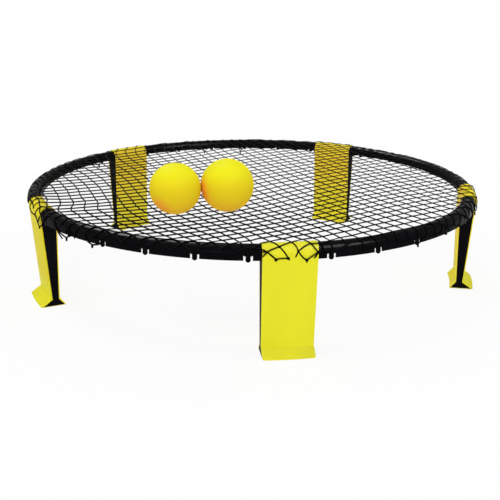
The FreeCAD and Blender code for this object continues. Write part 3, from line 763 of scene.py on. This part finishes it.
class RoundnetColours(bpy.types.PropertyGroup):
    rim: colour("Rim", "Black of the rim", (0.0030, 0.0026, 0.0034))
    rim_rub: colour("Rim rub marks", "Where cords rubbed the rim", (0.0055, 0.0052, 0.0062))
    core: colour("Leg core", "Black of the leg's core", (0.0030, 0.0024, 0.0036))
    core_scuff: colour("Leg core scuffs", "Lighter haze on the core", (0.0045, 0.004, 0.005))
    cover: colour("Leg cover", "Yellow of the leg's outside", (0.757, 0.724, 0.025))
    cover_shade: colour("Leg cover shade", "Duller yellow in patches", (0.732, 0.695, 0.023))
    # Painted shade of the side legs: a deeper gold, darker on the left
    cover_left_painted_shade: colour("Leg cover, left", "Yellow of the legs on the left", (0.735, 0.625, 0.014))
    cover_right_painted_shade: colour("Leg cover, right", "Yellow of the legs on the right", (0.86, 0.70, 0.018))
    # Painted shade of the inner side: a deeper gold, more orange up high
    cover_inside_painted_shade: colour("Leg cover inside", "Gold of the leg's inner side", (0.98, 0.71, 0.048))
    cover_inside_low_painted_shade: colour("Leg cover inside, low", "Inner side near the foot", (0.875, 0.76, 0.041))
    cover_scuff: colour("Leg cover scuffs", "Pale scuffs", (0.81, 0.78, 0.07))
    cord: colour("Cord", "Black of the net", (0.0032, 0.0028, 0.0036))
    cord_gap: colour("Cord gaps", "Between the cord's strands", (0.0012, 0.001, 0.0014))
    cord_bloom: colour("Cord bloom", "Dusty parts of the cord", (0.006, 0.0055, 0.0065))
    # The balls' yellows from top to bottom are painted shade: warmer and more orange lower down
    ball: colour("Ball", "Yellow of the balls", (0.845, 0.80, 0.012))
    ball_middle_painted_shade: colour("Ball's middle", "Yellow half way up", (0.84, 0.63, 0.016))
    ball_low_painted_shade: colour("Ball's lower side", "Warmer yellow low down", (1.0, 0.575, 0.032))
    # Painted orange bounce light and shade, where the balls touch
    ball_painted_bounce: colour("Ball's warm patches", "Orange where the balls rub", (1.0, 0.37, 0.04))
    ball_rub: colour("Ball rub", "Rubbed patches", (0.84, 0.72, 0.02))
    steel: colour("Clip steel", "The hinge clips", (0.56, 0.56, 0.57))
    valve: colour("Valve", "The balls' valves", (0.02, 0.02, 0.02))


class RoundnetStageSettings(bpy.types.PropertyGroup):
    lens: number("Lens", "Focal length", 62.115, unit="CAMERA")
    sky: number("Sky", "Strength of the soft light all round", 0.77)
    key: number("Key lamp", "Strength of the lamp above", 0.58)
    fill: number("Fill lamps", "Strength of the two lamps in front", 0.72)
    glint: number("Glints", "Strength of the two lamps that only gloss shows", 4.0)
    shadow: number("Shadow", "How much of the shadow the floor keeps", 0.12,
                   min=0.0, max=1.0, subtype="FACTOR")


# Operators

class RoundnetStage(bpy.types.Operator):
    """Makes the white floor, the soft light and the camera"""

    bl_idname = "roundnet.stage"
    bl_label = "Stage and camera"

    def execute(self, context):
        scene, settings = context.scene, context.scene.roundnet_stage
        scene.view_settings.view_transform = "Standard"
        mesh = bpy.data.meshes.new("floor")
        mesh.from_pydata([(x * FLOOR_REACH, y * FLOOR_REACH, FLOOR_LEVEL)
                          for x, y in ((-1, -1), (1, -1), (1, 1), (-1, 1))], [], [(0, 1, 2, 3)])
        floor = in_scene("floor", mesh)
        mesh.materials.append(self.floor_material(settings))
        self.world(scene, settings)
        for name, setting, share, towards, width in LAMPS:
            lamp = self.lamp(name, towards, getattr(settings, setting) * share, width)
            lamp.visible_diffuse = setting != "glint"
        self.camera(scene, settings)
        return {"FINISHED"}

    def floor_material(self, settings):
        """White to the eye and to gloss, with part of the real shadow mixed in."""
        finish = Finish("floor", (0.98, 0.98, 0.98), 0.8, specular=0.0)
        share = finish.maths("MULTIPLY", finish.seen(), 1.0 - settings.shadow)
        white = finish.add("Emission", Color=(1, 1, 1), Strength=1.0)
        blend = finish.add("MixShader", Fac=share)
        finish.feed(blend.inputs[1], finish.surface.outputs[0])
        finish.feed(blend.inputs[2], white.outputs[0])
        finish.feed(finish.nodes["Material Output"].inputs["Surface"], blend.outputs[0])
        return finish.material

    def world(self, scene, settings):
        """Soft light all round, white where it is seen or mirrored."""
        world = scene.world = bpy.data.worlds.new("studio")
        world.use_nodes = True
        sky = Nodes(world.node_tree)
        back = sky.nodes["Background"].inputs
        sky.feed(back["Color"], (1, 1, 1))
        sky.feed(back["Strength"], sky.band(sky.seen(), (0.0, 1.0), (settings.sky, 1.0)))

    def lamp(self, name, towards, strength, width):
        """An even light from one direction, as soft as its width in degrees."""
        data = bpy.data.lights.new(name, "SUN")
        data.energy = strength
        data.angle = math.radians(width)
        lamp = in_scene(name, data)
        lamp.matrix_world = Vector(towards).to_track_quat("Z", "Y").to_matrix().to_4x4()
        return lamp

    def camera(self, scene, settings):
        """The photograph's view: place, direction and a small roll."""
        data = bpy.data.cameras.new("camera")
        data.sensor_width = 36.0
        data.lens = settings.lens
        ahead = Vector(CAMERA_AHEAD).normalized()
        right = ahead.cross(Vector((0, 0, 1))).normalized()
        up = right.cross(ahead)
        cos, sin = math.cos(CAMERA_ROLL), math.sin(CAMERA_ROLL)
        turn = Matrix((right * cos + up * sin, up * cos - right * sin, -ahead)).transposed().to_4x4()
        scene.camera = in_scene("camera", data)
        scene.camera.matrix_world = Matrix.Translation(CAMERA_PLACE) @ turn


class RoundnetRim(bpy.types.Operator):
    """Gives the rim sections and hinge clips their finishes"""

    bl_idname = "roundnet.rim"
    bl_label = "Rim and clips"

    def execute(self, context):
        colours = context.scene.roundnet_colours
        finish_nodes("rim_section_", rim_material(colours))
        finish_nodes("hinge_clip_", clip_material(colours))
        return {"FINISHED"}


class RoundnetLegs(bpy.types.Operator):
    """Gives the legs' cores and covers their finishes"""

    bl_idname = "roundnet.legs"
    bl_label = "Legs"

    def execute(self, context):
        colours = context.scene.roundnet_colours
        finish_nodes("leg_core_", core_material(colours))
        finish_nodes("leg_cover_", cover_material(colours))
        return {"FINISHED"}


class RoundnetBalls(bpy.types.Operator):
    """Gives the balls and their valves their finishes"""

    bl_idname = "roundnet.balls"
    bl_label = "Balls"

    def execute(self, context):
        colours = context.scene.roundnet_colours
        finish_nodes("ball_", ball_material(colours))
        finish_nodes("valve_", valve_material(colours))
        return {"FINISHED"}


class RoundnetNet(bpy.types.Operator):
    """Knots the stretched net, hangs its edge over the rim and the legs' heads and hooks it on"""

    bl_idname = "roundnet.net"
    bl_label = "Net and edge loops"

    def execute(self, context):
        settings = context.scene.roundnet_net
        material = cord_material(context.scene.roundnet_colours)
        there, links, along_u, along_v, nodes, move, fixed = net_layout(
            settings.jitter, settings.reach, settings.head_reach, settings.seed)
        sheaf, places = Sheaf(), nodes + move
        total = self.cords(sheaf, (along_u, along_v), move, settings)
        self.knots(sheaf, places, there, links, settings)
        total += self.tails(sheaf, places[there & (links == 2) & ~fixed], settings)
        total += self.drops(sheaf, settings)
        net = sheaf.make("net_cords")
        net.data.materials.append(material)
        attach(net, "rim")
        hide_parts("net")
        loops = self.loops(settings)
        loops.data.materials.append(material)
        return {"FINISHED"}

    def cords(self, sheaf, joined, move, settings):
        """Both families of cords between knots. A cord's points follow its count, moved as the two
        knots beside them are, and near the edge it bows. Returns the cords' length."""
        total = 0.0
        rng = np.random.default_rng(settings.seed + 3)
        fine_u, fine_v = (knots[0] + np.arange((len(knots) - 1) * STEPS + 1) / STEPS
                          for knots in (KNOTS_U, KNOTS_V))
        for u, v, joints, moves in ((KNOTS_U, fine_v, joined[1], move),
                                    (fine_u, KNOTS_V, joined[0].T, move.transpose(1, 0, 2))):
            x, y, _ = place(*np.meshgrid(u, v, indexing="ij"))
            if u is fine_u:
                x, y = x.T, y.T
            share = (np.arange(x.shape[1]) % STEPS) / STEPS
            low = np.arange(x.shape[1]) // STEPS
            high = np.minimum(low + 1, moves.shape[1] - 1)
            shift = moves[:, low] * (1 - share)[None, :, None] + moves[:, high] * share[None, :, None]
            bow = smooth((np.hypot(x, y) - TUBE_RING) / SLACK_RUN) * np.sin(math.pi * share)
            shift += rng.normal(0, 1, moves.shape)[:, low] * (settings.slack * bow)[..., None]
            for row, joint in enumerate(joints):
                for first, last in runs(joint):
                    part = slice(first * STEPS, last * STEPS + 1)
                    line = np.stack([x[row, part], y[row, part]], -1) + shift[row, part]
                    total += self.strand(sheaf, line, settings)
        return total

    def knots(self, sheaf, places, there, links, settings):
        """A knot at each crossing, larger on the edge and where the net is bunched up."""
        centres, normals, wide, tall = on_the_set(places[there], settings.cord)
        turns = np.random.default_rng(settings.seed + 1).uniform(0, math.pi, len(centres))
        heft = np.ones(links.shape)
        heft[in_grid(*BIG_KNOTS.T)] = BIG_KNOT
        size = np.where(links[there] < 4, settings.edge_knot, settings.knot)
        bulk = heft[there] * size / settings.cord
        sheaf.knots(centres, normals, wide * bulk, tall * KNOT_HEIGHT * bulk, turns)

    def tails(self, sheaf, places, settings):
        """A short end of cord past each loose edge knot, pointing away from the net, then the loose
        ends on the heads and the slack cord. Returns their length."""
        rng = np.random.default_rng(settings.seed + 2)
        outwards = unit(places)
        aside = np.stack([-outwards[:, 1], outwards[:, 0]], -1)
        slant, uneven = 0.5, 0.3
        way = unit(outwards + aside * rng.normal(0, slant, len(places))[:, None])
        long = settings.tail * rng.uniform(1 - uneven, 1 + uneven, len(places))
        legs = LOOSE_ENDS[:, 0]
        starts = np.concatenate([places, on_head(legs, LOOSE_ENDS[:, 1:3])])
        ends = np.concatenate([places + way * long[:, None], on_head(legs, LOOSE_ENDS[:, 3:])])
        taper = np.array([1, 1, 1, 0.95, 0.8])
        steps = np.linspace(0, 1, len(taper))[None, :, None]
        for line in starts[:, None] + (ends - starts)[:, None] * steps:
            self.strand(sheaf, line, settings, taper=taper)
        leg, line = SLACK_CORD
        spare = self.strand(sheaf, on_head(leg, rounded(line)), settings)
        return np.linalg.norm(ends - starts, axis=1).sum() + spare

    def drops(self, sheaf, settings):
        """The low loose knots, each on its two cords and with a short frayed end below, and the stray
        cord. Returns the cords' length."""
        low = past_ring([knot for knot, _, _ in DROPS])
        centres, normals, wide, _ = on_the_set(low, settings.cord)
        sheaf.knots(centres, normals, wide * settings.knot / settings.cord, wide * LOW_KNOT_HEIGHT,
                    np.arctan2(low[:, 1], low[:, 0]))
        lines = [(STRAY_CORD, LOW_CORD)]
        for knot, *sides in DROPS:
            lines += [((knot, *side), LOW_CORD) for side in sides]
            lines.append(((knot, (knot[0], knot[1] + FRAYED_LENGTH)), FRAYED_CORD))
        return sum(self.strand(sheaf, rounded(past_ring(line)), settings, bulk) for line, bulk in lines)

    def strand(self, sheaf, line, settings, bulk=1.0, taper=1.0):
        """One cord along a flat line, laid on the set. Returns its length."""
        points, normals, wide, tall = on_the_set(line, settings.cord * bulk)
        sheaf.tube(points, normals, wide * taper, tall * taper, settings.sides)
        return np.linalg.norm(np.diff(points, axis=0), axis=1).sum()

    def loops(self, settings):
        """The loops that hold the net's edge on the rim's hooks."""
        sheaf = Sheaf()
        line = hook_loops(settings.loop)
        for turn in HOOKS:
            ahead, across = ways(turn)
            up = np.array([0, 0, 1.0])
            points = across * line[:, :1] + ahead * line[:, 1:2] + up * line[:, 2:]
            middle = ahead * LOOP_MIDDLE[0] + up * LOOP_MIDDLE[1]
            radius = settings.loop
            sheaf.tube(points, unit(points - middle), radius, radius, sides=6, closed=True)
        loops = sheaf.make("net_edge_loops")
        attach(loops, "rim")
        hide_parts("net_hook_loops")
        return loops


class RoundnetPanel(bpy.types.Panel):
    """Lists the steps that build the roundnet set"""

    bl_idname = "VIEW3D_PT_roundnet"
    bl_label = "Roundnet set"
    bl_space_type = "VIEW_3D"
    bl_region_type = "UI"
    bl_category = "Roundnet"

    def draw(self, context):
        for step in STEPS_IN_ORDER:
            self.layout.operator(step.bl_idname)
        for group in GROUPS:
            box = self.layout.box()
            settings = getattr(context.scene, group)
            for name in settings.bl_rna.properties.keys():
                if name not in ("rna_type", "name"):
                    box.prop(settings, name)


STEPS_IN_ORDER = (RoundnetStage, RoundnetRim, RoundnetLegs, RoundnetNet, RoundnetBalls)
GROUPS = {"roundnet_net": RoundnetNetSettings, "roundnet_colours": RoundnetColours,
          "roundnet_stage": RoundnetStageSettings}


def register():
    for name, group in GROUPS.items():
        bpy.utils.register_class(group)
        setattr(bpy.types.Scene, name, bpy.props.PointerProperty(type=group))
    for step in (*STEPS_IN_ORDER, RoundnetPanel):
        bpy.utils.register_class(step)


def unregister():
    for step in (RoundnetPanel, *reversed(STEPS_IN_ORDER)):
        bpy.utils.unregister_class(step)
    for name, group in GROUPS.items():
        delattr(bpy.types.Scene, name)
        bpy.utils.unregister_class(group)


def main():
    """Makes the set."""
    register()
    bpy.ops.roundnet.stage()
    bpy.ops.roundnet.rim()
    bpy.ops.roundnet.legs()
    bpy.ops.roundnet.net()
    bpy.ops.roundnet.balls()


if __name__ == "__main__":
    main()
